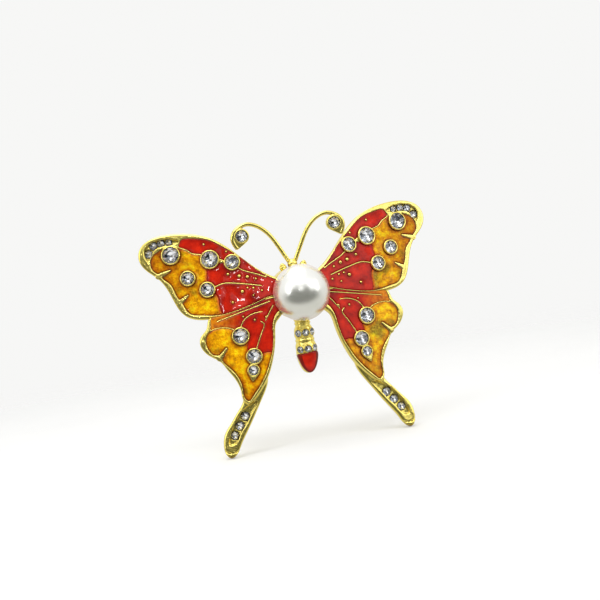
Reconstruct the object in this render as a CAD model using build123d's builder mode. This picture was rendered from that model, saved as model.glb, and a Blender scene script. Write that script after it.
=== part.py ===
"""Butterfly brooch: gold-plated castings, enamel fields, set stones, a bead pearl and a safety pin.

Frame: millimetres, +Z up as worn, X across the wings, front face towards -Y.
The origin is the middle of the pin stem, which the cloth carries.
"""
from build123d import *
import math
import os

os.makedirs("parts", exist_ok=True)

# ---- driving dimensions -------------------------------------------------------------------
pearl_radius = 5.0
centre_below_pin = 2.0         # the pin sits above the middle, so that the brooch hangs upright
pearl_drop = 0.4               # the pearl sits this far below the middle of the wings
pearl_ahead = 1.0              # and its centre this far ahead of the wings
wing_front = 7.95              # front plane of the wings at the centre line, ahead of the pin
forewing_sweep = 13.0          # degrees that a forewing leans back towards its tip
forewing_rake = 0.15           # how far the forewing leans back per unit of height
hindwing_sweep = 9.5
hindwing_rake = 0.12

casting_depth = 1.5            # thickness of a wing casting
rim_round = 0.35               # rounding of a casting's edges
tail_round = 0.4
cell_depth = 0.5               # depth of the enamel cells below the rim
enamel_below_rim = 0.1
rib_width = 0.22               # gold lines between the enamel fields
rib_below_rim = 0.03
bezel_wall = 0.2
bezel_rise = 0.4               # bezels stand this far above the rim
girdle_below_bezel = 0.12
girdle_half = 0.04
table_ratio = 0.58             # a stone's table, crown and pavilion, as parts of its radius
crown_ratio = 0.36
pavilion_ratio = 0.62
small_girdle_rise = 0.12       # girdle of a small stone above its channel's floor
row_girdle_rise = 0.02
antenna_girdle_rise = 0.04
setting_gap = 0.02
teardrop_tip_radius = 0.16
tail_step = 0.5                # the tail lies this far behind the wing rim
channel_depth = 0.45

thorax_radius = 4.7
thorax_back = 2.85
abdomen_axis = 5.4             # distance of the abdomen's centre line ahead of the pin
antenna_radius = 0.38

bar_length = 25.0
bar_height = 1.9               # low enough to stay hidden behind the wings
bar_thickness = 0.8
plate_length = 4.4             # end plates of the bar, for the hinge and the catch
plate_height = 3.6
stem_radius = 0.42
stem_root_radius = 0.58        # the stem swells where it joins the hinge eye
stem_root_x = 9.4
stem_taper_x = -8.6            # from here the stem tapers to its point
stem_tip_radius = 0.26
stem_reach = 12.9              # the stem's point, beyond the catch
hinge_x = 11.0
hinge_pad_length = 2.4
lug_radius = 0.9
rivet_radius = 0.35
hinge_clearance = 0.03
eye_radius = 0.85
eye_height = 1.2
lug_gap = 0.06
lug_thickness = 0.6
catch_x = -10.9
barrel_inner = 0.58
barrel_outer = 0.92
barrel_length = 2.8
collar_clearance = 0.05
collar_outer = 1.5
collar_length = 1.3
slot_width = 1.12

pearl_centre = (0, -(wing_front + pearl_ahead), -centre_below_pin - pearl_drop)


def wing_plane(sweep, rake):
    """Front plane of a right wing: local x runs outwards, local y upwards, local z to the front."""
    slope = math.tan(math.radians(sweep))
    across = (1 + rake * rake, slope, -slope * rake)
    normal = (slope, -1, rake)
    return Plane(origin=(0, -wing_front, -centre_below_pin), x_dir=across, z_dir=normal)


forewing_plane = wing_plane(forewing_sweep, forewing_rake)
hindwing_plane = wing_plane(hindwing_sweep, hindwing_rake)


def slab(plane, outline, bottom, top):
    """Solid between two depths of a plane, inside a smooth closed outline."""
    with BuildPart() as body:
        with BuildSketch(plane.offset(bottom)):
            with BuildLine():
                Spline(*outline, periodic=True)
            make_face()
        extrude(amount=top - bottom)
    return body.part


def rounded_slab(plane, outline, bottom, top, radius):
    """Slab whose front and back edges are rounded, as cast metal is."""
    with BuildPart() as body:
        add(slab(plane, outline, bottom, top))
        fillet(body.edges().sort_by(Edge.length)[1:], radius)
    return body.part


def rib(plane, points, bottom, top, width=rib_width):
    """Thin raised gold line through the points."""
    with BuildPart() as body:
        with BuildSketch(plane.offset(bottom)):
            with BuildLine():
                Spline(*points)
            trace(line_width=width)
        extrude(amount=top - bottom)
    return body.part


def post(plane, centre, radius, bottom, top):
    """Round post on a wing."""
    with BuildPart() as body:
        with BuildSketch(plane.offset(bottom)):
            with Locations(centre):
                Circle(radius)
        extrude(amount=top - bottom)
    return body.part


def grain(plane, centre, radius):
    """Round grain that stands through the enamel."""
    crown = plane.offset(-enamel_below_rim + radius * 0.35)
    with BuildPart() as body:
        with BuildSketch(plane.offset(-cell_depth - 0.1)):
            with Locations(centre):
                Circle(radius)
        extrude(amount=cell_depth + 0.1 - enamel_below_rim + radius * 0.35)
        with Locations(crown.location * Location((centre[0], centre[1], 0))):
            Sphere(radius)
    return body.part


def stone(plane, centre, radius, girdle):
    """Chaton stone with its girdle at the given height of the plane."""
    with BuildPart() as body:
        with BuildSketch(Plane.XZ):
            with BuildLine():
                Polyline(
                    (0, -radius * pavilion_ratio),
                    (radius, -girdle_half),
                    (radius, girdle_half),
                    (radius * table_ratio, radius * crown_ratio),
                    (0, radius * crown_ratio),
                    close=True,
                )
            make_face()
        revolve(axis=Axis.Z)
    return plane.location * Location((centre[0], centre[1], girdle)) * body.part


def seat(plane, centre, radius, girdle):
    """Room for a stone: a round hole that ends just below its point."""
    bottom = girdle - radius * pavilion_ratio - setting_gap
    return post(plane, centre, radius + setting_gap, bottom, girdle + 2 * radius)


def joined(first, others, mode=Mode.ADD):
    """The first solid with each of the others added to it, taken from it or common to it."""
    with BuildPart() as body:
        add(first)
        for other in others:
            add(other, mode=mode)
    return body.part


def keep(solid, name):
    """Label one finished piece and write it."""
    solid.label = name
    export_step(solid, f"parts/{name}.step")


def keep_pair(solid, name):
    """Write a right-hand piece and its mirror image."""
    keep(solid, f"right_{name}")
    keep(mirror(solid, about=Plane.YZ), f"left_{name}")


# ---- thorax cup, pearl and its peg --------------------------------------------------------
body_z = -centre_below_pin
pearl_clearance = 0.04
peg_radius = 0.6
peg_length = 3.2
peg_start = 0.3
cup_depth = 2.85
cup_plane = Plane(origin=(0, -thorax_back, pearl_centre[2]), x_dir=(1, 0, 0), z_dir=(0, -1, 0))

with BuildPart() as pearl_peg:
    with BuildSketch(cup_plane.offset(peg_start)):
        Circle(peg_radius)
    extrude(amount=peg_length)
with BuildPart() as pearl:
    with Locations(pearl_centre):
        Sphere(pearl_radius)
    add(pearl_peg.part, mode=Mode.SUBTRACT)
with BuildPart() as pearl_room:
    with Locations(pearl_centre):
        Sphere(pearl_radius + pearl_clearance)
with BuildPart() as thorax:
    with BuildSketch(cup_plane):
        Circle(thorax_radius)
    extrude(amount=cup_depth)
    fillet(thorax.edges().sort_by(Axis.Y)[0], 0.5)
    add(pearl_room.part, mode=Mode.SUBTRACT)
    add(pearl_peg.part, mode=Mode.SUBTRACT)
centre_clear = [thorax.part, pearl_room.part]

# ---- forewing -----------------------------------------------------------------------------
forewing_outline = [
    (1.6, 2.2), (4.4, 3.4), (7.8, 6.2), (10.8, 9.4), (14.0, 12.0), (17.4, 13.4), (20.9, 14.0),
    (24.4, 13.8), (26.6, 12.5), (27.2, 10.6), (26.2, 8.4), (24.4, 6.6), (23.0, 4.2), (22.1, 1.6),
    (20.8, -0.7), (18.5, -1.9), (15.2, -2.1), (11.0, -1.7), (7.3, -0.8), (4.6, -0.3), (1.6, -0.2),
]
forewing_field = [
    (2.2, 1.9), (4.5, 3.0), (6.6, 4.7), (9.3, 7.6), (11.7, 9.7), (14.4, 11.7), (17.5, 12.6), (19.3, 12.5),
    (19.9, 11.5), (21.5, 11.6), (23.3, 11.4), (24.6, 10.7), (25.2, 9.5), (25.0, 8.2), (24.1, 7.2),
    (23.3, 6.2), (22.3, 5.1), (21.9, 4.0), (21.5, 2.7), (20.8, 1.4), (20.3, 0.1), (19.5, -0.8),
    (18.1, -1.2), (15.4, -1.7), (11.0, -1.38),
    (7.3, -0.52), (4.6, -0.06), (2.2, 0.08),
]
tip_channel = [
    (19.6, 12.5), (21.0, 13.1), (22.8, 13.3), (24.3, 13.1), (25.6, 12.3), (26.0, 11.0), (25.5, 9.9),
    (24.9, 10.8), (23.9, 11.8), (22.2, 12.1), (20.6, 12.1),
]
costal_line = [(5.4, 3.3), (6.8, 4.1), (8.1, 4.7), (9.7, 5.6), (10.9, 7.0)]
link_line = [(10.9, 7.0), (12.8, 7.5), (14.7, 8.2)]
shoulder_line = [(14.7, 8.2), (16.3, 9.4), (17.7, 9.9), (18.6, 10.7), (19.7, 11.3), (20.2, 12.4)]
costal_region = [
    (5.0, 3.4), (6.8, 4.1), (8.1, 4.7), (9.7, 5.6), (10.9, 7.0), (12.8, 7.5), (14.7, 8.2), (16.3, 9.4),
    (17.7, 9.9), (18.6, 10.7), (19.7, 11.3), (20.2, 12.6), (17.4, 13.8), (13.0, 12.0), (8.0, 7.2),
]
basal_region = [
    (1.5, 2.6), (5.0, 3.4), (8.1, 4.7), (10.9, 7.0), (14.7, 8.2), (15.5, 6.6), (15.8, 4.8), (15.6, 3.0),
    (14.6, 1.8), (14.4, 0.2), (14.3, -1.2), (13.6, -2.4), (8.0, -2.4), (1.5, -0.8),
]
forewing_vein = [(16.0, 3.1), (14.6, 3.3), (13.2, 3.6), (11.1, 3.3), (8.8, 2.7), (6.4, 2.0)]
forewing_thorns = [((24.3, 6.9), 0.45, (22.0, 7.6)), ((21.3, 1.6), 0.45, (19.6, 2.65))]
forewing_neck = ((13.2, 7.75), 0.42, (12.2, 7.4))      # joins two of the bezels
forewing_bezels = [
    ((21.4, 10.2), 1.7), ((14.7, 8.2), 1.7), ((10.9, 7.0), 1.45), ((19.1, 5.6), 1.38), ((16.0, 3.0), 1.42),
]
forewing_grains = [
    ((12.0, 5.1), 0.26), ((10.1, 4.4), 0.32), ((8.7, 4.0), 0.32), ((7.3, 3.4), 0.22), ((10.0, 1.6), 0.32),
    ((8.0, 1.9), 0.22), ((9.0, 2.1), 0.2), ((6.6, 1.2), 0.2), ((8.2, 0.6), 0.2), ((12.0, 0.0), 0.26),
    ((15.3, 11.1), 0.2), ((11.6, 9.1), 0.2),
]
tip_stones = [((25.25, 11.2), 0.7), ((24.2, 12.45), 0.7), ((22.8, 12.7), 0.65), ((21.4, 12.6), 0.58)]

cell_floor = -cell_depth
channel_floor = -channel_depth
bezel_girdle = bezel_rise - girdle_below_bezel
tip_girdle = channel_floor + small_girdle_rise


def teardrop(plane, centre, radius, tip, bottom, top):
    """Round post drawn out to a tip."""
    with BuildPart() as body:
        with BuildSketch(plane.offset(bottom)):
            with Locations(tip):
                Circle(teardrop_tip_radius)
            with Locations(centre):
                Circle(radius)
            make_hull()
        extrude(amount=top - bottom)
    return body.part


def casting(plane, outline, field, ribs, thorns, bezels, grains):
    """Wing casting with one sunk field, gold lines, thorns from the rim, stone bezels and grains."""
    body = rounded_slab(plane, outline, -casting_depth, 0, rim_round)
    body = joined(body, [slab(plane, field, cell_floor, 1)], Mode.SUBTRACT)
    raised = [rib(plane, points, cell_floor - 0.1, -rib_below_rim) for points in ribs]
    raised += [teardrop(plane, *thorn, cell_floor - 0.1, 0) for thorn in thorns]
    raised += [post(plane, centre, radius, cell_floor - 0.1, bezel_rise) for centre, radius in bezels]
    raised += [grain(plane, centre, radius) for centre, radius in grains]
    body = joined(body, raised)
    seats = [seat(plane, centre, radius - bezel_wall, bezel_girdle) for centre, radius in bezels]
    return joined(body, seats, Mode.SUBTRACT)


def enamel(plane, field, region, metal, outside):
    """Fired enamel that fills the field inside a region, around the metal that stands in it."""
    body = slab(plane, field, cell_floor, -enamel_below_rim)
    if region:
        body = joined(body, [slab(plane, region, -1, 1)], Mode.INTERSECT)
    return joined(body, [*outside, *centre_clear, metal], Mode.SUBTRACT)


def set_stones(plane, bezels):
    """The stones of a group of bezels."""
    return Compound([
        stone(plane, centre, radius - bezel_wall, bezel_girdle) for centre, radius in bezels
    ])


forewing = casting(
    forewing_plane, forewing_outline, forewing_field,
    [costal_line, link_line, shoulder_line, forewing_vein],
    [*forewing_thorns, forewing_neck], forewing_bezels, forewing_grains,
)
forewing = joined(forewing, [slab(forewing_plane, tip_channel, channel_floor, 1)], Mode.SUBTRACT)
tip_seats = [seat(forewing_plane, c, r, tip_girdle) for c, r in tip_stones]
forewing = joined(forewing, [*tip_seats, *centre_clear], Mode.SUBTRACT)

costal_prism = slab(forewing_plane, costal_region, -1, 1)
basal_prism = slab(forewing_plane, basal_region, -1, 1)
forewing_settings = [post(forewing_plane, c, r, -1, 1) for c, r in forewing_bezels]
costal_enamel = enamel(
    forewing_plane, forewing_field, costal_region, forewing, forewing_settings
)
basal_enamel = enamel(
    forewing_plane, forewing_field, basal_region, forewing, [costal_prism, *forewing_settings]
)
forewing_amber = enamel(
    forewing_plane, forewing_field, None, forewing, [costal_prism, basal_prism, *forewing_settings]
)
forewing_stones = set_stones(forewing_plane, forewing_bezels)
forewing_tip_stones = Compound([stone(forewing_plane, c, r, tip_girdle) for c, r in tip_stones])

# ---- hindwing -----------------------------------------------------------------------------
hindwing_outline = [
    (5.0, 0.1), (9.0, -0.3), (13.0, -0.7), (15.8, -1.4), (16.9, -2.7), (17.3, -3.9), (18.4, -5.0),
    (18.9, -6.2), (18.6, -7.4), (17.7, -8.6), (16.5, -9.5), (15.6, -10.4), (15.0, -11.5), (14.2, -12.8),
    (13.5, -14.3), (13.2, -15.8), (13.1, -17.2), (12.3, -18.1), (11.2, -17.6), (9.6, -16.0), (8.2, -14.2),
    (7.1, -12.1), (6.2, -9.6), (5.6, -7.0), (5.0, -4.8), (3.6, -3.2),
]
hindwing_field = [
    (2.6, -0.2), (9.0, -0.6), (15.0, -1.6), (16.3, -2.6), (16.5, -3.8), (17.4, -5.1), (17.8, -6.3),
    (17.5, -7.7), (16.7, -8.7), (15.8, -9.0), (15.5, -9.8), (14.8, -10.9), (13.7, -12.3), (13.0, -13.9),
    (12.8, -15.6), (12.6, -17.2), (12.1, -17.6), (11.3, -17.0), (10.0, -15.6), (8.6, -13.8), (7.5, -11.8),
    (6.5, -9.4), (6.0, -7.0), (5.5, -4.4), (4.4, -3.0), (2.8, -2.2),
]
tail_outline = [
    (9.4, -13.0), (8.2, -13.9), (8.7, -15.8), (9.8, -17.6), (11.5, -20.2), (13.2, -22.7), (14.7, -24.9),
    (15.7, -26.4), (16.8, -26.9), (17.6, -26.1), (17.8, -24.8), (17.2, -22.5), (15.9, -20.9), (14.4, -19.1),
    (13.2, -17.5), (12.8, -15.8), (11.6, -14.0),
]
tail_crease = [(18.0, -25.1), (17.0, -25.95), (15.2, -25.8)]
tail_crease_width = 0.24
tail_crease_depth = 0.3
tail_channel = [
    (10.8, -17.8), (11.8, -18.1), (13.0, -18.7), (14.4, -19.9), (15.5, -21.4), (16.4, -23.2), (16.6, -24.6),
    (15.9, -24.6), (14.6, -23.1), (13.2, -21.4), (11.8, -19.5),
]
upper_line = [(18.3, -5.0), (17.2, -4.6), (15.8, -4.2), (14.0, -4.3), (12.4, -5.0)]
outer_vein = [(11.6, -6.1), (11.3, -4.6), (10.4, -3.4), (8.8, -2.7), (7.0, -2.6)]
inner_vein = [(9.8, -10.1), (8.7, -7.8), (7.8, -6.1), (7.2, -4.8), (7.8, -4.2)]
root_vein = [(5.0, -1.7), (6.0, -3.0), (6.9, -4.3)]
edge_vein = [(15.4, -3.0), (10.4, -2.0), (5.4, -1.0)]
hindwing_thorns = [((15.95, -9.5), 0.45, (14.4, -7.9))]
red_region = [
    (1.5, 1.5), (9.0, 1.0), (18.5, -1.0), (18.6, -4.8), (17.2, -4.6), (15.8, -4.2), (14.0, -4.3),
    (12.4, -4.9), (11.6, -6.1), (10.6, -7.4), (10.8, -8.6), (9.8, -10.1), (8.2, -9.8),
    (6.8, -9.8), (5.4, -10.0), (4.4, -6.0), (1.5, -3.5),
]
hindwing_bezels = [((11.6, -6.2), 1.56), ((9.85, -10.1), 1.46), ((10.4, -12.5), 1.1)]
hindwing_grains = [((6.7, -3.6), 0.2), ((8.7, -3.8), 0.22), ((10.6, -2.9), 0.2)]
teardrop_tip = (10.8, -14.2)
tail_stones = [((13.2, -20.1), 0.74), ((14.4, -21.6), 0.74), ((15.55, -23.1), 0.7)]


last_centre, last_radius = hindwing_bezels[-1]
hindwing = casting(
    hindwing_plane, hindwing_outline, hindwing_field,
    [upper_line, outer_vein, inner_vein, root_vein, edge_vein],
    hindwing_thorns, hindwing_bezels, hindwing_grains,
)
drop = teardrop(hindwing_plane, last_centre, last_radius, teardrop_tip, cell_floor - 0.1, bezel_rise)
drop_seat = seat(hindwing_plane, last_centre, last_radius - bezel_wall, bezel_girdle)
drop = joined(drop, [drop_seat], Mode.SUBTRACT)
tail = rounded_slab(hindwing_plane, tail_outline, -casting_depth, -tail_step, tail_round)
tail_floor = -tail_step - channel_depth
under_channel = slab(hindwing_plane, tail_channel, tail_floor, 1)
tail_girdle = tail_floor + small_girdle_rise
tail_seats = [seat(hindwing_plane, c, r, tail_girdle) for c, r in tail_stones]
crease_floor = -tail_step - tail_crease_depth
crease = rib(hindwing_plane, tail_crease, crease_floor, 0, tail_crease_width)
tail = joined(tail, [crease], Mode.SUBTRACT)
hindwing = joined(hindwing, [drop, tail])
wing_block = slab(hindwing_plane, hindwing_outline, -casting_depth, 1)
channel_cut = joined(under_channel, [wing_block], Mode.SUBTRACT)
forewing_clear = slab(forewing_plane, forewing_outline, -4, 4)
hindwing_cuts = [channel_cut, *tail_seats, forewing_clear, *centre_clear]
hindwing = joined(hindwing, hindwing_cuts, Mode.SUBTRACT)

hindwing_settings = [post(hindwing_plane, c, r, -1, 1) for c, r in hindwing_bezels]
hindwing_settings.append(forewing_clear)
red_prism = slab(hindwing_plane, red_region, -1, 1)
red_enamel = enamel(hindwing_plane, hindwing_field, red_region, hindwing, hindwing_settings)
hindwing_amber = enamel(
    hindwing_plane, hindwing_field, None, hindwing, [red_prism, *hindwing_settings]
)
hindwing_stones = set_stones(hindwing_plane, hindwing_bezels)
tail_stone_group = Compound([stone(hindwing_plane, c, r, tail_girdle) for c, r in tail_stones])


# ---- head, neck and abdomen ---------------------------------------------------------------
abdomen_profile = [
    (1.15, -4.4), (1.25, -5.6), (1.3, -6.2), (1.6, -6.8), (1.72, -7.6), (1.7, -8.3), (1.6, -8.6),
    (1.74, -8.9), (1.64, -9.2), (1.78, -9.6), (1.84, -10.4), (1.9, -11.3), (1.8, -12.4),
    (1.45, -13.6), (0.8, -14.6), (0.02, -14.9),
]
neck_ridges = (-5.3, -5.9)
tip_enamel_top = -11.4
tip_enamel_bottom = -14.6
tip_enamel_depth = 0.3
stone_rows = (-7.6, -10.5)
row_angles = (-44, 0, 44)
row_stone_radius = 0.6
head_centre = (0, -4.6, body_z + 4.75)
head_radius = 0.9
eye_bead_radius = 0.38
eye_places = [(-1.96, -5.2, body_z + 4.7), (1.96, -5.2, body_z + 4.7)]
socket_radius = 0.65                                   # gold swellings of the cup that hold the beads
socket_places = [(-1.85, -5.0, body_z + 4.3), (1.85, -5.0, body_z + 4.3)]


def turned(profile, inward=0.0):
    """Solid turned about the abdomen's centre line, smaller all round by an inward offset."""
    section = Plane(origin=(0, -abdomen_axis, body_z), x_dir=(1, 0, 0), z_dir=(0, -1, 0))
    with BuildPart() as body:
        with BuildSketch(section):
            with BuildLine():
                curve = Spline(*[(max(radius - inward, 0.01), height) for radius, height in profile])
                Polyline(curve @ 1, (0, profile[-1][1]), (0, profile[0][1]), curve @ 0)
            make_face()
        revolve(axis=Axis((0, -abdomen_axis, 0), (0, 0, 1)))
    return body.part


def row_place(height, angle, inset):
    """Place on the abdomen's skin that faces outwards at an angle from the front."""
    radius = 1.78 if height > -9 else 1.9
    turn = math.radians(angle)
    out = (math.sin(turn), -math.cos(turn), 0)
    origin = (out[0] * (radius - inset), -abdomen_axis + out[1] * (radius - inset), body_z + height)
    return Plane(origin=origin, x_dir=(math.cos(turn), math.sin(turn), 0), z_dir=out)


with BuildPart() as head:
    with Locations(head_centre):
        Sphere(head_radius)
with BuildPart() as eye_sockets:
    with Locations(*socket_places):
        Sphere(socket_radius)
with BuildPart() as neck_rings:
    for height in neck_ridges:
        with Locations((0, -abdomen_axis, body_z + height)):
            Torus(1.25, 0.22)

abdomen = turned(abdomen_profile)
ring_mounts = []
ring_seats = []
row_stones = []
for row_height in stone_rows:
    for row_angle in row_angles:
        skin = row_place(row_height, row_angle, 0)
        ring_mounts.append(post(skin, (0, 0), row_stone_radius + 0.14, -0.5, 0.1))
        ring_seats.append(seat(skin, (0, 0), row_stone_radius, row_girdle_rise))
        row_stones.append(stone(skin, (0, 0), row_stone_radius, row_girdle_rise))
tip_window = [
    (-1.62, tip_enamel_top + 0.05), (0, tip_enamel_top + 0.15), (1.62, tip_enamel_top + 0.05),
    (1.45, -12.6), (0.95, -13.8), (0, tip_enamel_bottom), (-0.95, -13.8), (-1.45, -12.6),
]
window_plane = Plane(origin=(0, -abdomen_axis - 4, body_z), x_dir=(1, 0, 0), z_dir=(0, -1, 0))
tip_prism = slab(window_plane, tip_window, -4, 2)
tip_shell = joined(turned(abdomen_profile), [turned(abdomen_profile, tip_enamel_depth)], Mode.SUBTRACT)
tip_enamel = joined(tip_shell, [tip_prism], Mode.INTERSECT)
abdomen = joined(abdomen, [*ring_mounts])
abdomen = joined(abdomen, [*ring_seats, tip_enamel], Mode.SUBTRACT)
body_casting = joined(thorax.part, [head.part, eye_sockets.part, neck_rings.part, abdomen])
with BuildPart() as eye_beads:
    with Locations(*eye_places):
        Sphere(eye_bead_radius)
body_casting = joined(body_casting, [pearl_room.part, pearl_peg.part, eye_beads.part], Mode.SUBTRACT)

# ---- antennae -----------------------------------------------------------------------------
antenna_line = [
    (0.4, -4.6, 4.9), (1.4, -4.85, 6.8), (2.25, -5.0, 8.45), (3.2, -5.05, 10.1), (4.4, -5.0, 11.5),
    (5.7, -5.0, 12.4), (7.2, -5.0, 12.8), (8.6, -5.05, 12.45), (9.6, -5.15, 11.7), (10.05, -5.2, 10.6),
    (9.85, -5.2, 9.6), (9.4, -5.2, 8.8),
]
antenna_stone_centre = (8.45, 10.85)
antenna_stone_radius = 1.1
antenna_cup_radius = 1.4
antenna_cup_depth = 1.1
antenna_cup_side = ((9.7, 10.6), 0.55)
antenna_cup_tip = ((9.45, 8.8), 0.2)
antenna_plane = Plane(origin=(0, -5.5, body_z), x_dir=(1, 0, 0), z_dir=(0, -1, 0))

with BuildPart() as antenna_cup:
    with BuildSketch(antenna_plane.offset(-antenna_cup_depth)):
        with Locations(antenna_stone_centre):
            Circle(antenna_cup_radius)
        for place, radius in (antenna_cup_side, antenna_cup_tip):
            with Locations(place):
                Circle(radius)
        make_hull()
    extrude(amount=antenna_cup_depth)
    fillet(antenna_cup.faces().sort_by(Axis.Y)[-1].edges(), 0.3)
with BuildPart() as antenna_wire:
    with BuildLine() as antenna_path:
        Spline(*[(x, y, z + body_z) for x, y, z in antenna_line])
    with BuildSketch(Plane(origin=antenna_path.line @ 0, z_dir=antenna_path.line % 0)):
        Circle(antenna_radius)
    sweep()
antenna_seat = seat(antenna_plane, antenna_stone_centre, antenna_stone_radius, antenna_girdle_rise)
antenna = joined(antenna_cup.part, [antenna_wire.part])
antenna = joined(antenna, [antenna_seat, body_casting], Mode.SUBTRACT)
antenna = antenna.solids().sort_by(SortBy.VOLUME)[-1]
antenna_stone = stone(antenna_plane, antenna_stone_centre, antenna_stone_radius, antenna_girdle_rise)

# ---- bar, hinge and catch on the back -----------------------------------------------------
back_plane = Plane(origin=(0, -thorax_back, 0), x_dir=(1, 0, 0), z_dir=(0, -1, 0))
bar_back = thorax_back - bar_thickness
plate_x = (bar_length - plate_length) / 2
pad_thickness = 0.4
pad_back = bar_back - pad_thickness
lug_inner = eye_height / 2 + lug_gap
lug_outer = lug_inner + lug_thickness
rivet_head_radius = 0.58
rivet_head_height = 0.2
leg_length = (barrel_length - collar_length) / 2 - 0.1
leg_half_height = 0.75
lever_reach = 2.7

with BuildPart() as pin_bar:
    with BuildSketch(back_plane):
        Rectangle(bar_length - plate_length, bar_height)
        with Locations((-plate_x, 0), (plate_x, 0)):
            SlotOverall(plate_length, plate_height)
    extrude(amount=-bar_thickness)

with BuildPart() as hinge_block:
    with Locations((hinge_x, -(bar_back + pad_back) / 2, 0)):
        Box(hinge_pad_length, pad_thickness, 2 * lug_outer + 0.2)
    for level in (-lug_outer, lug_inner):
        with BuildSketch(Plane.XY.offset(level)):
            with Locations((hinge_x, 0)):
                Circle(lug_radius)
            with Locations((hinge_x, -pad_back - 0.1)):
                Rectangle(hinge_pad_length - 0.2, 0.2)
            make_hull()
            with Locations((hinge_x, 0)):
                Circle(rivet_radius, mode=Mode.SUBTRACT)
        extrude(amount=lug_thickness)

with BuildPart() as hinge_rivet:
    with BuildSketch(Plane.XY.offset(-lug_outer)):
        with Locations((hinge_x, 0)):
            Circle(rivet_radius)
    extrude(amount=2 * lug_outer)
    for level in (-lug_outer - rivet_head_height, lug_outer):
        with BuildSketch(Plane.XY.offset(level)):
            with Locations((hinge_x, 0)):
                Circle(rivet_head_radius)
        extrude(amount=rivet_head_height)

with BuildPart() as pin_stem:
    with BuildSketch(Plane.XY):
        with BuildLine():
            Polyline(
                (hinge_x - 0.5, 0), (hinge_x - 0.5, stem_root_radius), (stem_root_x, stem_radius),
                (stem_taper_x, stem_radius), (-stem_reach + 0.7, stem_tip_radius),
                (-stem_reach + 0.08, 0.05), (-stem_reach, 0), close=True,
            )
        make_face()
    revolve(axis=Axis.X)
    with BuildSketch(Plane.XY.offset(-eye_height / 2)):
        with Locations((hinge_x, 0)):
            Circle(eye_radius)
    extrude(amount=eye_height)
    with BuildSketch(Plane.XY.offset(-eye_height / 2)):
        with Locations((hinge_x, 0)):
            Circle(rivet_radius + hinge_clearance)
    extrude(amount=eye_height, mode=Mode.SUBTRACT)

barrel_end = catch_x + barrel_length / 2
barrel_start = catch_x - barrel_length / 2
with BuildPart() as catch_block:
    with Locations((catch_x, -(bar_back + pad_back) / 2, 0)):
        Box(barrel_length, pad_thickness, 2 * lug_outer)
    for start in (barrel_start, barrel_end - leg_length):
        with Locations((start + leg_length / 2, -pad_back / 2 - 0.15, 0)):
            Box(leg_length, pad_back - 0.3, 2 * leg_half_height)
    with BuildSketch(Plane.YZ.offset(barrel_start)):
        Circle(barrel_outer)
    extrude(amount=barrel_length)
    with BuildSketch(Plane.YZ.offset(barrel_start)):
        Circle(barrel_inner)
        with Locations((barrel_outer, 0)):
            Rectangle(2 * barrel_outer, slot_width)
    extrude(amount=barrel_length, mode=Mode.SUBTRACT)

collar_inner = barrel_outer + collar_clearance
with BuildPart() as catch_collar:
    with BuildSketch(Plane.YZ.offset(catch_x - collar_length / 2)):
        Circle(collar_outer)
        Circle(collar_inner, mode=Mode.SUBTRACT)
        with Locations((collar_outer, 0)):
            Rectangle(2 * collar_outer, slot_width + 0.1, mode=Mode.SUBTRACT)
    extrude(amount=collar_length)
    with Locations((catch_x, -0.35, (collar_outer + lever_reach) / 2 - 0.05)):
        Box(collar_length * 0.7, 0.5, lever_reach - collar_outer + 0.1)
    fillet(catch_collar.edges().filter_by(Axis.X).group_by(Axis.Z)[-1], 0.2)

# ---- write every piece --------------------------------------------------------------------
for name, solid in {
    "forewing": forewing,
    "costal_enamel": costal_enamel,
    "basal_enamel": basal_enamel,
    "forewing_amber": forewing_amber,
    "forewing_stones": forewing_stones,
    "tip_stones": forewing_tip_stones,
    "hindwing": hindwing,
    "hindwing_red": red_enamel,
    "hindwing_amber": hindwing_amber,
    "hindwing_stones": hindwing_stones,
    "tail_stones": tail_stone_group,
    "antenna": antenna,
    "antenna_stone": antenna_stone,
}.items():
    keep_pair(solid, name)

for name, solid in {
    "body_casting": body_casting,
    "pearl": pearl.part,
    "pearl_peg": pearl_peg.part,
    "eye_beads": eye_beads.part,
    "abdomen_enamel": tip_enamel,
    "abdomen_stones": Compound(row_stones),
    "pin_bar": pin_bar.part,
    "hinge_block": hinge_block.part,
    "hinge_rivet": hinge_rivet.part,
    "pin_stem": pin_stem.part,
    "catch_block": catch_block.part,
    "catch_collar": catch_collar.part,
}.items():
    keep(solid, name)
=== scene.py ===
"""Looks of the butterfly brooch: soft cast edges, fired enamel, faceted stones, a bead pearl.

Metres, in the frame of the CAD model. Lengths named *_mm are millimetres.
"""
import math

import bmesh
import bpy
import numpy as np
from mathutils import Matrix, Vector
from mathutils.kdtree import KDTree


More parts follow.
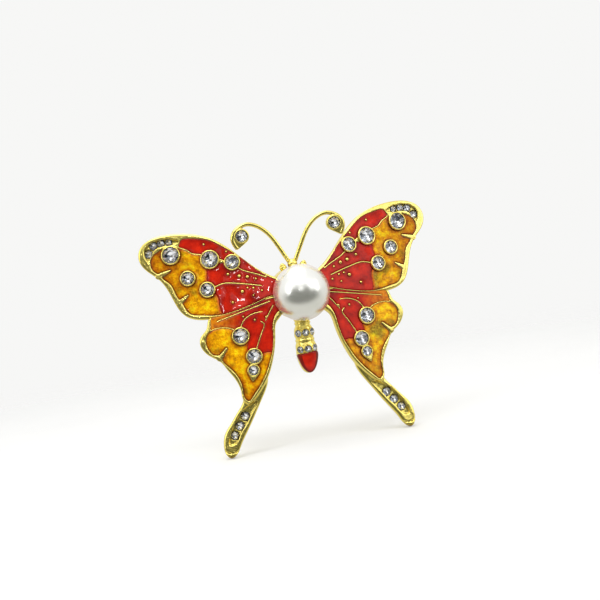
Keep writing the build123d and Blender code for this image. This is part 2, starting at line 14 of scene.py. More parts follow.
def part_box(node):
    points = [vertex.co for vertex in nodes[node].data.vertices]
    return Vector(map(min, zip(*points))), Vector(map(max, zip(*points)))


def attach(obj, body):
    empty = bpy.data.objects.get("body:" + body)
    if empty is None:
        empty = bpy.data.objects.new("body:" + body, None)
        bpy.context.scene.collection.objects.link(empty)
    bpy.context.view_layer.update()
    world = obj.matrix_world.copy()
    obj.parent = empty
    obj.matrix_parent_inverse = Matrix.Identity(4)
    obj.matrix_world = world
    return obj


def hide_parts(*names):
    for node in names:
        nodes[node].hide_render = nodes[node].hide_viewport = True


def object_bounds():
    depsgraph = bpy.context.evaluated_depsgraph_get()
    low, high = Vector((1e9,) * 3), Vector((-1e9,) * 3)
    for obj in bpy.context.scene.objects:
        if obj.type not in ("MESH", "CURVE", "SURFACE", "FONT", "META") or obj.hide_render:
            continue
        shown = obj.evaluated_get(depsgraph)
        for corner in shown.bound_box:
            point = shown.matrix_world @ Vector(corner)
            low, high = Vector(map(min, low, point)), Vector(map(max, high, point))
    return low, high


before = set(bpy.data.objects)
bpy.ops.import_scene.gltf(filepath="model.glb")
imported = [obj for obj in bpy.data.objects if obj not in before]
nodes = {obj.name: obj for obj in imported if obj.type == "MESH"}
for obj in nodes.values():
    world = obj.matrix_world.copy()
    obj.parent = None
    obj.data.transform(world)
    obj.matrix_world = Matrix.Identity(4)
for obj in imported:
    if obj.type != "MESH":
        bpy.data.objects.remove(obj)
cad_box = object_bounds()

MM = 0.001
SIDES = ("left", "right")
BODY = "brooch"

# the pearl's centre; and each wing's front plane, as its slope outwards and its slope upwards
PEARL_LOW, PEARL_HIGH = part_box("pearl")
PEARL_CENTRE = (PEARL_LOW + PEARL_HIGH) / 2
FOREWING_LEAN = (math.tan(math.radians(13.0)), 0.15)
HINDWING_LEAN = (math.tan(math.radians(9.5)), 0.12)

# meshes: voxel sizes and softening rounds of the castings and the enamel
CAST_VOXEL_MM, FINE_VOXEL_MM, CAST_ROUNDS, TAIL_ROUNDS = 0.1, 0.07, 4, 9
ENAMEL_VOXEL_MM, ENAMEL_ROUNDS, ENAMEL_GROW_MM = 0.1, 10, 0.05
MERGE_MM = 0.0005

# enamel: the meniscus at the walls, how far the painted shade reaches from the walls, and how far the
# colours change near neighbours
CREEP_HEIGHT_MM, CREEP_REACH_MM = 0.07, 0.16
WALL_SHADE_REACH_MM = 1.2
RED_REACH_MM = 0.35
RED_SEAM_MM, RED_VOXEL_MM = 0.25, 0.15
WEDGE_START_MM, WEDGE_LENGTH_MM = 11.0, 4.5

# camera, at the photograph's angle
CAMERA_AZIMUTH = math.radians(-11.0)
CAMERA_ELEVATION = math.radians(2.0)
CAMERA_ROLL = math.radians(8.7)
CAMERA_DISTANCE = 0.252
CAMERA_TARGET = Vector((0, -7.95, -2.0)) * MM
CAMERA_LENS = 86.2
CAMERA_SHIFT = -1 / 60


# ---- shader helpers -----------------------------------------------------------------------
class Shader:
    """A material being built: nodes are added by type, linked by socket name."""

    def __init__(self, name):
        self.material = bpy.data.materials.new(name)
        self.material.use_nodes = True
        self.tree = self.material.node_tree
        self.tree.nodes.clear()
        self.output = self.tree.nodes.new("ShaderNodeOutputMaterial")
        self.surface = self.add("ShaderNodeBsdfPrincipled")
        self.link(self.surface, "BSDF", self.output, "Surface")

    def add(self, kind, **values):
        node = self.tree.nodes.new(kind)
        for key, value in values.items():
            setattr(node, key, value)
        return node

    def link(self, source, out, target, into):
        self.tree.links.new(source.outputs[out], target.inputs[into])

    def set(self, **values):
        for key, value in values.items():
            self.surface.inputs[key.replace("_", " ")].default_value = value

    def place(self):
        """Object position in millimetres."""
        where = self.add("ShaderNodeTexCoord")
        scaled = self.add("ShaderNodeVectorMath", operation="SCALE")
        scaled.inputs["Scale"].default_value = 1 / MM
        self.link(where, "Object", scaled, "Vector")
        return scaled

    def noise(self, scale, detail=3.0, roughness=0.5):
        node = self.add("ShaderNodeTexNoise")
        node.inputs["Scale"].default_value = scale
        node.inputs["Detail"].default_value = detail
        node.inputs["Roughness"].default_value = roughness
        self.link(self.place(), "Vector", node, "Vector")
        return node

    def ramp(self, source, out, *stops):
        node = self.add("ShaderNodeValToRGB")
        elements = node.color_ramp.elements
        while len(elements) < len(stops):
            elements.new(0.5)
        for element, (position, colour) in zip(elements, stops):
            element.position = position
            element.color = (*colour, 1)
        self.link(source, out, node, "Fac")
        return node

    def mix(self, a, a_out, b, b_out, factor, factor_out):
        node = self.add("ShaderNodeMix", data_type="RGBA")
        self.link(a, a_out, node, 6)
        self.link(b, b_out, node, 7)
        self.link(factor, factor_out, node, 0)
        return node

    def multiply(self, a, a_out, b, b_out):
        node = self.add("ShaderNodeMix", data_type="RGBA", blend_type="MULTIPLY")
        node.inputs[0].default_value = 1.0
        self.link(a, a_out, node, 6)
        self.link(b, b_out, node, 7)
        return node

    def painted_hollow_shade(self, reach_mm):
        """Painted shade: dark in corners and grooves, bright in the open."""
        node = self.add("ShaderNodeAmbientOcclusion", samples=8)
        node.inputs["Distance"].default_value = reach_mm * MM
        return node

    def bump(self, source, out, height_mm, strength=1.0):
        node = self.add("ShaderNodeBump")
        node.inputs["Distance"].default_value = height_mm * MM
        node.inputs["Strength"].default_value = strength
        self.link(source, out, node, "Height")
        return node


def gold_metal(name, colour, roughness, waviness_mm):
    """Bright plated metal with slight casting waviness, uneven polish and painted shade in its grooves and
    corners.
    """
    shader = Shader(name)
    shader.set(Metallic=0.94)
    waves = shader.noise(0.55, 2.0)
    tone = shader.ramp(waves, "Fac", (0.35, tuple(c * 0.93 for c in colour)), (0.65, colour))
    # painted shade: the base colour is darkened where ambient occlusion finds corners and grooves
    corners = shader.painted_hollow_shade(1.1)
    painted_groove_shade = shader.ramp(corners, "AO", (0.35, (0.26, 0.18, 0.08)), (0.8, (1.0, 1.0, 1.0)))
    tone = shader.multiply(tone, "Color", painted_groove_shade, "Color")
    shader.link(tone, 2, shader.surface, "Base Color")
    polish = shader.noise(3.0, 5.0)
    rough = shader.ramp(polish, "Fac", (0.3, (roughness * 0.6,) * 3), (0.75, (roughness * 1.6,) * 3))
    shader.link(rough, "Color", shader.surface, "Roughness")
    bump = shader.bump(waves, "Fac", waviness_mm)
    shader.link(bump, "Normal", shader.surface, "Normal")
    return shader.material


def red_enamel():
    """Glossy red enamel: darker at the walls, partly from deeper enamel and partly painted shade, running
    to amber where the two were fired together.
    """
    shader = Shader("red_enamel")
    shader.set(Roughness=0.4, Specular_IOR_Level=0.05, Coat_Weight=0.7, Coat_Roughness=0.02, Coat_IOR=1.36)
    cloud = shader.noise(0.45, 4.0, 0.6)
    body = shader.ramp(
        cloud, "Fac",
        (0.3, (0.28, 0.005, 0.002)), (0.5, (0.5, 0.012, 0.003)), (0.7, (0.7, 0.022, 0.004)),
    )
    # painted shade, partly deeper enamel: the colour darkens towards the walls
    edge = shader.add("ShaderNodeAttribute", attribute_name="wall_distance")
    walls = shader.ramp(
        edge, "Fac", (0.0, (0.35, 0.3, 0.3)), (0.2, (0.72, 0.7, 0.7)), (0.6, (1.0, 1.0, 1.0)),
    )
    tone = shader.multiply(body, "Color", walls, "Color")
    blend = shader.add("ShaderNodeAttribute", attribute_name="amber_blend")
    streak = shader.noise(1.6, 4.0)
    amber = shader.ramp(streak, "Fac", (0.35, (0.42, 0.1, 0.003)), (0.6, (0.72, 0.24, 0.006)))
    tone = shader.mix(tone, 2, amber, "Color", blend, "Fac")
    shader.link(tone, 2, shader.surface, "Base Color")
    waves = shader.noise(0.35, 1.0)
    bump = shader.bump(waves, "Fac", 0.05)
    shader.link(bump, "Normal", shader.surface, "Coat Normal")
    return shader.material


def amber_enamel():
    """Translucent amber enamel over crinkled foil: brown at the walls, partly from deeper enamel and
    partly painted shade, smoky at the far end.
    """
    shader = Shader("amber_enamel")
    shader.set(Metallic=0.2, Roughness=0.35, Specular_IOR_Level=0.05)
    shader.set(Coat_Weight=0.6, Coat_Roughness=0.02, Coat_IOR=1.36)
    streaks = shader.noise(0.9, 6.0, 0.65)
    foil = shader.ramp(
        streaks, "Fac",
        (0.3, (0.34, 0.11, 0.0)), (0.4, (0.64, 0.26, 0.0)),
        (0.52, (0.95, 0.45, 0.0)), (0.62, (1.0, 0.72, 0.005)),
    )
    patches = shader.noise(0.32, 2.0)
    speckle = shader.noise(3.2, 4.0, 0.7)
    olive = shader.ramp(speckle, "Fac", (0.4, (0.08, 0.07, 0.004)), (0.6, (0.45, 0.33, 0.02)))
    where = shader.ramp(patches, "Fac", (0.54, (0.0, 0.0, 0.0)), (0.68, (0.8, 0.8, 0.8)))
    tone = shader.mix(foil, "Color", olive, "Color", where, "Color")
    # painted shade, partly deeper enamel: the colour turns dark brown towards the walls
    edge = shader.add("ShaderNodeAttribute", attribute_name="wall_distance")
    walls = shader.ramp(
        edge, "Fac",
        (0.0, (0.12, 0.05, 0.02)), (0.17, (0.4, 0.22, 0.1)),
        (0.34, (0.8, 0.62, 0.42)), (0.8, (1.0, 1.0, 1.0)),
    )
    tone = shader.multiply(tone, 2, walls, "Color")
    reach = shader.add("ShaderNodeAttribute", attribute_name="reach")
    smoke = shader.ramp(reach, "Fac", (0.5, (1.0, 1.0, 1.0)), (0.95, (0.7, 0.54, 0.6)))
    tone = shader.multiply(tone, 2, smoke, "Color")
    blend = shader.add("ShaderNodeAttribute", attribute_name="red_blend")
    red = shader.ramp(streaks, "Fac", (0.3, (0.55, 0.02, 0.004)), (0.7, (0.8, 0.09, 0.006)))
    tone = shader.mix(tone, 2, red, "Color", blend, "Fac")
    shader.link(tone, 2, shader.surface, "Base Color")
    crinkle = shader.noise(2.4, 5.0, 0.6)
    bump = shader.bump(crinkle, "Fac", 0.3)
    shader.link(bump, "Normal", shader.surface, "Normal")
    waves = shader.noise(0.35, 1.0)
    pool = shader.bump(waves, "Fac", 0.05)
    shader.link(pool, "Normal", shader.surface, "Coat Normal")
    return shader.material


def clear_stone():
    """Cut glass."""
    shader = Shader("stone_glass")
    shader.set(Base_Color=(0.96, 0.97, 1.0, 1), Roughness=0.0, IOR=1.58, Transmission_Weight=1.0)
    tint = shader.noise(0.4)
    tone = shader.ramp(tint, "Fac", (0.3, (0.9, 0.93, 0.97)), (0.7, (0.98, 0.98, 1.0)))
    shader.link(tone, "Color", shader.surface, "Base Color")
    return shader.material


def stone_foil():
    """Silvered back of a stone, with painted reflections: its facets coloured from near black to white."""
    shader = Shader("stone_foil")
    shader.set(Metallic=0.75, Roughness=0.04)
    # painted reflection: each back facet is coloured dark to white, as if mirroring the dark room and the
    # bright lamps by turns
    facet = shader.add("ShaderNodeAttribute", attribute_name="painted_facet_reflection")
    tone = shader.ramp(
        facet, "Fac", (0.0, (0.04, 0.05, 0.07)), (0.3, (0.6, 0.63, 0.68)), (0.6, (1.0, 1.0, 1.0)),
    )
    shader.link(tone, "Color", shader.surface, "Base Color")
    return shader.material


def pearl_coat():
    """Lustrous bead: nacre that mirrors softly, with a rosy sheen towards its limb."""
    shader = Shader("pearl_coat")
    shader.set(Roughness=0.27, Metallic=0.85, Specular_Tint=(1.0, 0.88, 0.84, 1))
    shader.set(Coat_Weight=0.3, Coat_Roughness=0.14, Coat_IOR=1.45)
    cloud = shader.noise(0.3, 3.0)
    tone = shader.ramp(cloud, "Fac", (0.3, (0.88, 0.89, 0.84)), (0.7, (0.95, 0.95, 0.91)))
    shader.link(tone, "Color", shader.surface, "Base Color")
    grain = shader.noise(5.0, 4.0)
    bump = shader.bump(grain, "Fac", 0.005)
    shader.link(bump, "Normal", shader.surface, "Normal")
    return shader.material


GOLD = gold_metal("gold_plate", (1.0, 0.83, 0.22), 0.19, 0.1)
STEEL = gold_metal("pin_steel", (0.93, 0.82, 0.55), 0.12, 0.004)
RED = red_enamel()
AMBER = amber_enamel()
GLASS = clear_stone()
FOIL = stone_foil()
PEARL = pearl_coat()


# ---- meshes -------------------------------------------------------------------------------
def millimetre_copy(node):
    """Mesh of a CAD node in millimetres with its vertices merged."""
    mesh = nodes[node].data.copy()
    mesh.transform(Matrix.Scale(1 / MM, 4))
    work = bmesh.new()
    work.from_mesh(mesh)
    bmesh.ops.remove_doubles(work, verts=work.verts, dist=MERGE_MM)
    work.to_mesh(mesh)
    work.free()
    mesh.materials.clear()
    return mesh


def remeshed(node, voxel_mm, rounds, grow_mm=0.0):
    """Even, soft-edged mesh of a CAD node, in millimetres."""
    shape = bpy.data.objects.new("work", millimetre_copy(node))
    bpy.context.scene.collection.objects.link(shape)
    even = shape.modifiers.new("even", "REMESH")
    even.mode = "VOXEL"
    even.voxel_size = voxel_mm
    soften = shape.modifiers.new("soften", "SMOOTH")
    soften.factor = 0.5
    soften.iterations = rounds
    if grow_mm:
        grow = shape.modifiers.new("grow", "DISPLACE")
        grow.strength = grow_mm
        grow.mid_level = 0.0
    bpy.context.view_layer.update()
    shown = shape.evaluated_get(bpy.context.evaluated_depsgraph_get())
    mesh = bpy.data.meshes.new_from_object(shown)
    bpy.data.objects.remove(shape)
    return mesh


def piece(name, mesh, material, body, *stands_for, scaled=True):
    """Finished piece in metres that rides on a body and stands for CAD nodes."""
    if scaled:
        mesh.transform(Matrix.Scale(MM, 4))
    mesh.materials.clear()
    for part in material if isinstance(material, (list, tuple)) else [material]:
        mesh.materials.append(part)
    shown = bpy.data.objects.new(name, mesh)
    bpy.context.scene.collection.objects.link(shown)
    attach(shown, body)
    if stands_for:
        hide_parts(*stands_for)
    return shown


def smooth(mesh):
    mesh.polygons.foreach_set("use_smooth", [True] * len(mesh.polygons))
    return mesh


def coordinates(mesh):
    flat = np.empty(len(mesh.vertices) * 3)
    mesh.vertices.foreach_get("co", flat)
    return flat.reshape(-1, 3)


def normals(mesh):
    flat = np.empty(len(mesh.vertices) * 3)
    mesh.vertices.foreach_get("normal", flat)
    return flat.reshape(-1, 3)


def front_normal(side, lean):
    """Unit normal of a wing's front plane."""
    slope, rake = lean
    sign = 1 if side == "right" else -1
    normal = np.array((sign * slope, -1.0, rake))
    return normal / np.linalg.norm(normal)


def cast_piece(node, voxel_mm=CAST_VOXEL_MM, rounds=CAST_ROUNDS):
    shown = piece(f"cast_{node}", smooth(remeshed(node, voxel_mm, rounds)), GOLD, BODY, node)


def nearest(points, others):
    """Distance from each point to the nearest of the others."""
    tree = KDTree(len(others))
    for index, point in enumerate(others):
        tree.insert(point, index)
    tree.balance()
    return np.array([tree.find(point)[2] for point in points])


def keep_value(mesh, name, values):
    kept = mesh.attributes.new(name, "FLOAT", "POINT")
    kept.data.foreach_set("value", np.clip(values, 0, 1))


def enamel_piece(node, material, front, voxel_mm=ENAMEL_VOXEL_MM, reds=(), grow_mm=ENAMEL_GROW_MM):
    """Enamel that creeps up the walls round it.

    Each vertex keeps how far the walls are. Amber also keeps how near the red enamel is and how far
    out on the wing it lies, and the hindwing's red keeps how much amber runs into it.
    """
    mesh = smooth(remeshed(node, voxel_mm, ENAMEL_ROUNDS, grow_mm))
    points = coordinates(mesh)
    facing = normals(mesh) @ front
    top = np.flatnonzero(facing > 0.8)
    side = points[np.abs(facing) < 0.5]
    if reds:
        red = np.concatenate([coordinates(remeshed(name, RED_VOXEL_MM, 0)) for name in reds])
        side = side[nearest(side, red) > RED_SEAM_MM]
        near_red = np.zeros(len(points))
        near_red[top] = np.exp(-(nearest(points[top], red) / RED_REACH_MM) ** 2)
        keep_value(mesh, "red_blend", near_red)
        far = np.linalg.norm(points - np.array(PEARL_CENTRE) / MM, axis=1)
        keep_value(mesh, "reach", (far - far.min()) / (far.max() - far.min()))
    elif "hindwing" in node:
        keep_value(mesh, "amber_blend", (np.abs(points[:, 0]) - WEDGE_START_MM) / WEDGE_LENGTH_MM)
    else:
        keep_value(mesh, "amber_blend", np.zeros(len(points)))
    distance = np.zeros(len(points))
    distance[top] = nearest(points[top], side)
    creep = np.zeros(len(points))
    creep[top] = CREEP_HEIGHT_MM * np.exp(-distance[top] / CREEP_REACH_MM)
    points = points + creep[:, None] * front
    mesh.vertices.foreach_set("co", points.ravel())
    keep_value(mesh, "wall_distance", distance / WALL_SHADE_REACH_MM)
    shown = piece(f"enamel_{node}", mesh, material, BODY, node)


# ---- stones -------------------------------------------------------------------------------
# sizes of a stone as shares of its radius: table, crown height, pavilion depth, half girdle,
# and the rings where the star and the lower facets end
TABLE, CROWN, PAVILION, GIRDLE = 0.58, 0.36, 0.6, 0.025
STAR, LOWER = 0.8, 0.5
STONE_SHRINK = 0.985                       # room in its bezel
STONE_TURN = 0.37                          # how much each stone of a row is turned from the last
FACET_STRIDE, REFLECTION_STEPS = 5, 7           # painted reflection: neighbouring facets are coloured light and dark by turns
BEZEL_WALL_MM, BEZEL_STEPS = 0.2, 48
TABLE_DEPTH_MM = 0.01                      # vertices this near a stone's top belong to its table


def brilliant(radius, centre, axis, turn):
    """Vertices of a round stone with eight main facets, its clear faces and its silvered back faces."""
    eighth = math.tau / 8
    half = math.cos(eighth / 2)
    crown_slope = -CROWN / (1 - TABLE)
    star_height = CROWN + (STAR * half - TABLE) * crown_slope
    lower_height = -PAVILION + LOWER * half * PAVILION

    def ring(count, size, height, shift=0.0):
        angles = [turn + (k + shift) * math.tau / count for k in range(count)]
        return [(size * math.cos(a), size * math.sin(a), height) for a in angles]

    table = ring(8, TABLE, CROWN)
    stars = ring(8, STAR, star_height, 0.5)
    girdle_top = ring(16, 1.0, GIRDLE)
    girdle_low = ring(16, 1.0, -GIRDLE)
    lowers = ring(8, LOWER, lower_height, 0.5)
    points = table + stars + girdle_top + girdle_low + lowers + [(0, 0, -PAVILION)]
    s, gt, gl, lo, tip = 8, 16, 32, 48, 56
    crown = [tuple(range(8))]
    back = []
    for k in range(8):
        n = (k + 1) % 8
        main, mid, after = 2 * k, 2 * k + 1, (2 * k + 2) % 16
        crown.append((k, s + k, n))
        crown.append((k, s + (k - 1) % 8, gt + main, s + k))
        crown.append((s + k, gt + main, gt + mid))
        crown.append((s + k, gt + mid, gt + after))
        back.append((gl + main, lo + k, gl + mid))
        back.append((gl + mid, lo + k, gl + after))
        back.append((gl + main, lo + (k - 1) % 8, tip, lo + k))
    sides = [(gt + k, gl + k, gl + (k + 1) % 16, gt + (k + 1) % 16) for k in range(16)]
    turned = axis.to_track_quat("Z", "Y").to_matrix()
    placed = [centre + turned @ (Vector(p) * radius) for p in points]
    return placed, crown + sides, back


def stone_places(node):
    """Girdle centre, radius and axis of each stone in a CAD node."""
    work = bmesh.new()
    work.from_mesh(nodes[node].data)
    bmesh.ops.remove_doubles(work, verts=work.verts, dist=MERGE_MM * MM)
    left = set(work.verts)
    places = []
    while left:
        island, front = set(), [left.pop()]
        while front:
            vertex = front.pop()
            island.add(vertex)
            for edge in vertex.link_edges:
                other = edge.other_vert(vertex)
                if other in left:
                    left.remove(other)
                    front.append(other)
        points = np.array([v.co for v in island])
        flat = points - points.mean(0)
        axis = Vector(np.linalg.svd(flat, full_matrices=False)[2][2])
        axis = -axis if axis.y > 0 else axis
        heights = points @ np.array(axis)
        table = points[heights > heights.max() - TABLE_DEPTH_MM * MM]
        table_centre = Vector((table.max(0) + table.min(0)) / 2)
        across = np.linalg.norm(np.cross(points - np.array(table_centre), np.array(axis)), axis=1)
        radius = across.max()
        places.append((table_centre - axis * CROWN * radius, radius, axis))
    work.free()
    return sorted(places, key=lambda place: (round(place[0].x, 5), round(place[0].z, 5)))


def bezel_piece(node):
    """Thin rolled collars round the stones of a node."""
    vertices, faces = [], []
    for centre, radius, axis in stone_places(node):
        r, w = radius / MM, BEZEL_WALL_MM
        profile = [
            (r + w, -0.75), (r + w, 0.02), (r + w - 0.03, 0.09), (r + w - 0.09, 0.13),
            (r + 0.03, 0.14), (r - 0.04, 0.11), (r - 0.05, 0.06), (r - 0.02, 0.0), (r + 0.01, -0.2),
        ]
        turned = axis.to_track_quat("Z", "Y").to_matrix()
        start = len(vertices)
        for step in range(BEZEL_STEPS):
            a = step * math.tau / BEZEL_STEPS
            for out, up in profile:
                around = Vector((out * math.cos(a), out * math.sin(a), up))
                vertices.append(centre + turned @ around * MM)
        for step in range(BEZEL_STEPS):
            here = start + step * len(profile)
            there = start + (step + 1) % BEZEL_STEPS * len(profile)
            for k in range(len(profile) - 1):
                faces.append((here + k, there + k, there + k + 1, here + k + 1))
    mesh = bpy.data.meshes.new(f"bezels_{node}")
    mesh.from_pydata(vertices, [], faces)
    shown = piece(f"bezels_{node}", smooth(mesh), GOLD, BODY, scaled=False)


def stone_piece(node):
    """Faceted stones of a node, each on the place and axis of its CAD solid."""
    vertices, faces, silvered = [], [], []
    for count, (centre, radius, axis) in enumerate(stone_places(node)):
        points, clear, back = brilliant(radius * STONE_SHRINK, centre, axis, STONE_TURN * count)
        start = len(vertices)
        vertices += points
        faces += [tuple(start + i for i in face) for face in clear + back]
        silvered += [0] * len(clear) + [1] * len(back)
    mesh = bpy.data.meshes.new(f"stones_{node}")
    mesh.from_pydata(vertices, [], faces)
    shown = piece(f"gems_{node}", mesh, [GLASS, FOIL], BODY, node, scaled=False)
    mesh.polygons.foreach_set("material_index", silvered)
    # painted reflection: each facet gets a dark-to-white step, by turns
    painted_reflections = mesh.attributes.new("painted_facet_reflection", "FLOAT", "FACE")
    steps = [k * FACET_STRIDE % REFLECTION_STEPS for k in range(len(faces))]
    painted_reflections.data.foreach_set("value", [step / (REFLECTION_STEPS - 1) for step in steps])
    work = bmesh.new()
    work.from_mesh(mesh)
    bmesh.ops.recalc_face_normals(work, faces=work.faces)
    work.to_mesh(mesh)
    work.free()


# ---- build --------------------------------------------------------------------------------
for side in SIDES:
    fore, hind = front_normal(side, FOREWING_LEAN), front_normal(side, HINDWING_LEAN)
    cast_piece(f"{side}_forewing")
    cast_piece(f"{side}_hindwing", rounds=TAIL_ROUNDS)
    cast_piece(f"{side}_antenna", FINE_VOXEL_MM)
    enamel_piece(f"{side}_costal_enamel", RED, fore)
    enamel_piece(f"{side}_basal_enamel", RED, fore)
    fore_reds = (f"{side}_costal_enamel", f"{side}_basal_enamel")
    enamel_piece(f"{side}_forewing_amber", AMBER, fore, reds=fore_reds)
    enamel_piece(f"{side}_hindwing_red", RED, hind)
    enamel_piece(f"{side}_hindwing_amber", AMBER, hind, reds=(f"{side}_hindwing_red",))
    for group in ("forewing_stones", "tip_stones", "hindwing_stones", "tail_stones", "antenna_stone"):
        stone_piece(f"{side}_{group}")
    for group in ("forewing_stones", "hindwing_stones", "antenna_stone"):
        bezel_piece(f"{side}_{group}")
cast_piece("body_casting", 0.09)
enamel_piece("abdomen_enamel", RED, np.array((0.0, -1.0, 0.0)), 0.06, grow_mm=0.2)
stone_piece("abdomen_stones")
for node in ("pin_bar", "hinge_block", "catch_block"):
    cast_piece(node, FINE_VOXEL_MM, 3)
plain_nodes = {
    "eye_beads": GOLD, "pearl_peg": GOLD, "catch_collar": GOLD,
    "pin_stem": STEEL, "hinge_rivet": STEEL, "pearl": PEARL,
}
for node, material in plain_nodes.items():
    nodes[node].data.materials.clear()
    nodes[node].data.materials.append(material)


# ---- stage, light and camera --------------------------------------------------------------
FLOOR_HALF, FLOOR_GAP_MM = 1.2, 0.05
FLOOR_FADE_MM = (60, 260)                  # the floor runs into the backdrop between these
LIGHTS = {                                 # direction, distance, size, watts
    "key": ((-0.25, -0.6, 1.0), 0.42, (0.3, 0.18), 0.58),
    "top": ((-0.1, 0.1, 1.0), 0.45, (0.3, 0.25), 0.6),
    "fill": ((0.95, -0.6, 0.35), 0.45, (0.1, 0.25), 0.2),
    "window": ((0.5, -0.76, 0.42), 0.5, (0.16, 0.38), 0.18),
    "near": ((-0.16, -0.95, 0.3), 0.5, (0.16, 0.1), 0.07),
    "side": ((-1.0, -0.5, 0.4), 0.5, (0.12, 0.3), 0.32),
    "spark": ((-0.3, -0.92, 0.26), 0.5, (0.006, 0.006), 0.01),
}
OPENING_WIDTH, OPENING_DEPTH, OPENING_HEIGHT = 0.95, 0.56, -0.14   # of the tent's front, as directions
ROOM_TONE = (0.1, 0.103, 0.08, 1)
TENT_LOW, TENT_HIGH = (0.66, 0.65, 0.6, 1), (0.9, 0.9, 0.9, 1)
BACKDROP_TONE = (0.93, 0.93, 0.92, 1)


def floor():
    mesh = bpy.data.meshes.new("floor")
    half, low = FLOOR_HALF, cad_box[0].z - FLOOR_GAP_MM * MM
    corners = [(-half, -half, low), (half, -half, low), (half, half, low), (-half, half, low)]
    mesh.from_pydata(corners, [], [(0, 1, 2, 3)])
    shown = bpy.data.objects.new("floor", mesh)
    bpy.context.scene.collection.objects.link(shown)
    shader = Shader("floor_paper")
    shader.set(Roughness=0.9)
    grain = shader.noise(0.02, 2.0)
    tone = shader.ramp(grain, "Fac", (0.3, (0.74, 0.74, 0.73)), (0.7, (0.76, 0.76, 0.75)))
    shader.link(tone, "Color", shader.surface, "Base Color")
    where = shader.place()
    out = shader.add("ShaderNodeVectorMath", operation="LENGTH")
    shader.link(where, "Vector", out, 0)
    fade = shader.add("ShaderNodeMapRange", interpolation_type="SMOOTHSTEP")
    fade.inputs["From Min"].default_value = FLOOR_FADE_MM[0]
    fade.inputs["From Max"].default_value = FLOOR_FADE_MM[1]
    fade.inputs["To Min"].default_value = 1
    fade.inputs["To Max"].default_value = 0
    shader.link(out, "Value", fade, "Value")
    shader.link(fade, "Result", shader.surface, "Alpha")
    mesh.materials.append(shader.material)
    shown.visible_glossy = False


def softbox(name, direction, distance, size, power):
    light = bpy.data.lights.new(name, "AREA")
    light.shape = "RECTANGLE"
    light.size, light.size_y = size
    light.energy = power
    lamp = bpy.data.objects.new(name, light)
    bpy.context.scene.collection.objects.link(lamp)
    towards = Vector(direction).normalized()
    lamp.location = PEARL_CENTRE + towards * distance
    lamp.rotation_mode = "QUATERNION"
    lamp.rotation_quaternion = towards.to_track_quat("Z", "Y")


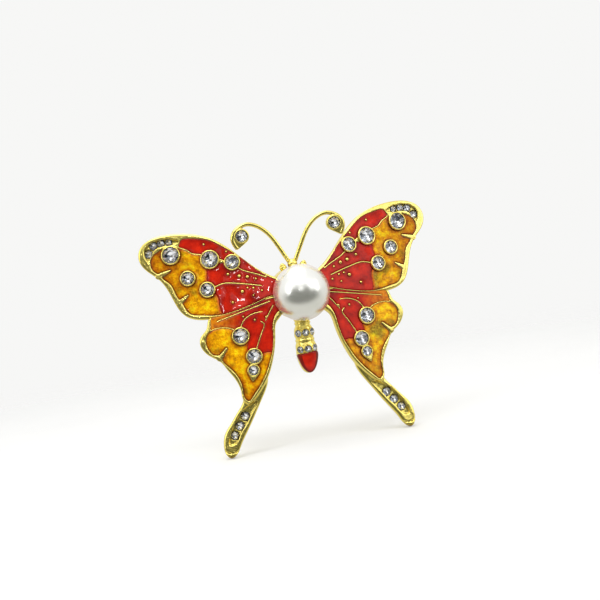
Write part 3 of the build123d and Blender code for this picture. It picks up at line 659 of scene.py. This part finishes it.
def surroundings():
    """Pale to the camera; reflections see a white tent with the dark room through its open front."""
    world = bpy.data.worlds.new("tent")
    bpy.context.scene.world = world
    world.use_nodes = True
    tree = world.node_tree
    tree.nodes.clear()

    def add(kind, **values):
        node = tree.nodes.new(kind)
        for key, value in values.items():
            setattr(node, key, value)
        return node

    def step(source, low, high, rising=True):
        node = add("ShaderNodeMapRange", interpolation_type="SMOOTHSTEP")
        node.inputs["From Min"].default_value = low
        node.inputs["From Max"].default_value = high
        node.inputs["To Min"].default_value = 0 if rising else 1
        node.inputs["To Max"].default_value = 1 if rising else 0
        tree.links.new(source, node.inputs["Value"])
        return node.outputs["Result"]

    def times(a, b):
        node = add("ShaderNodeMath", operation="MULTIPLY")
        tree.links.new(a, node.inputs[0])
        tree.links.new(b, node.inputs[1])
        return node.outputs[0]

    def divided(source, middle, reach):
        """How far a number is from the middle, as a share of the reach."""
        node = add("ShaderNodeMath", operation="MULTIPLY_ADD")
        node.inputs[1].default_value = 1 / reach
        node.inputs[2].default_value = -middle / reach
        tree.links.new(source, node.inputs[0])
        return node.outputs[0]

    where = add("ShaderNodeTexCoord")
    split = add("ShaderNodeSeparateXYZ")
    tree.links.new(where.outputs["Generated"], split.inputs[0])
    height = split.outputs["Z"]
    towards = add("ShaderNodeVectorMath", operation="DOT_PRODUCT")
    towards.inputs[1].default_value = (math.sin(CAMERA_AZIMUTH), -math.cos(CAMERA_AZIMUTH), 0)
    tree.links.new(where.outputs["Generated"], towards.inputs[0])
    sideways = add("ShaderNodeVectorMath", operation="DOT_PRODUCT")
    sideways.inputs[1].default_value = (math.cos(CAMERA_AZIMUTH), math.sin(CAMERA_AZIMUTH), 0)
    tree.links.new(where.outputs["Generated"], sideways.inputs[0])
    wide = divided(sideways.outputs["Value"], 0.0, OPENING_WIDTH)
    tall = divided(height, OPENING_HEIGHT, OPENING_DEPTH)
    spread = add("ShaderNodeMath", operation="ADD")
    tree.links.new(times(wide, wide), spread.inputs[0])
    tree.links.new(times(tall, tall), spread.inputs[1])
    before = step(towards.outputs["Value"], 0.0, 0.2)
    inside = step(spread.outputs[0], 0.7, 1.25, rising=False)
    opening = times(before, inside)
    walls = add("ShaderNodeValToRGB")
    elements = walls.color_ramp.elements
    elements[0].position, elements[0].color = 0.25, TENT_LOW
    elements[1].position, elements[1].color = 0.75, TENT_HIGH
    half = add("ShaderNodeMapRange")
    half.inputs["From Min"].default_value = -1
    tree.links.new(height, half.inputs["Value"])
    tree.links.new(half.outputs["Result"], walls.inputs["Fac"])
    room = add("ShaderNodeMix", data_type="RGBA")
    tree.links.new(opening, room.inputs[0])
    tree.links.new(walls.outputs["Color"], room.inputs[6])
    room.inputs[7].default_value = ROOM_TONE
    tent = add("ShaderNodeBackground")
    tent.inputs["Strength"].default_value = 1.0
    tree.links.new(room.outputs[2], tent.inputs["Color"])
    backdrop = add("ShaderNodeBackground")
    backdrop.inputs["Color"].default_value = BACKDROP_TONE
    path = add("ShaderNodeLightPath")
    choose = add("ShaderNodeMixShader")
    tree.links.new(path.outputs["Is Camera Ray"], choose.inputs[0])
    tree.links.new(tent.outputs[0], choose.inputs[1])
    tree.links.new(backdrop.outputs[0], choose.inputs[2])
    out = add("ShaderNodeOutputWorld")
    tree.links.new(choose.outputs[0], out.inputs["Surface"])


def photograph_camera():
    a, e, roll = CAMERA_AZIMUTH, CAMERA_ELEVATION, CAMERA_ROLL
    back = Vector((math.sin(a) * math.cos(e), -math.cos(a) * math.cos(e), math.sin(e)))
    level = Vector((math.cos(a), math.sin(a), 0))
    up = back.cross(level)
    right = level * math.cos(roll) - up * math.sin(roll)
    up = level * math.sin(roll) + up * math.cos(roll)
    data = bpy.data.cameras.new("camera")
    data.lens = CAMERA_LENS
    data.sensor_width = 36
    data.shift_y = CAMERA_SHIFT
    data.clip_start = 0.01
    data.clip_end = 10
    camera = bpy.data.objects.new("camera", data)
    bpy.context.scene.collection.objects.link(camera)
    turn = Matrix((right, up, back)).transposed().to_4x4()
    camera.matrix_world = Matrix.Translation(CAMERA_TARGET + back * CAMERA_DISTANCE) @ turn
    bpy.context.scene.camera = camera


bpy.context.scene.view_settings.view_transform = "Standard"
floor()
for name, (direction, distance, size, power) in LIGHTS.items():
    softbox(name, direction, distance, size, power)
surroundings()
photograph_camera()
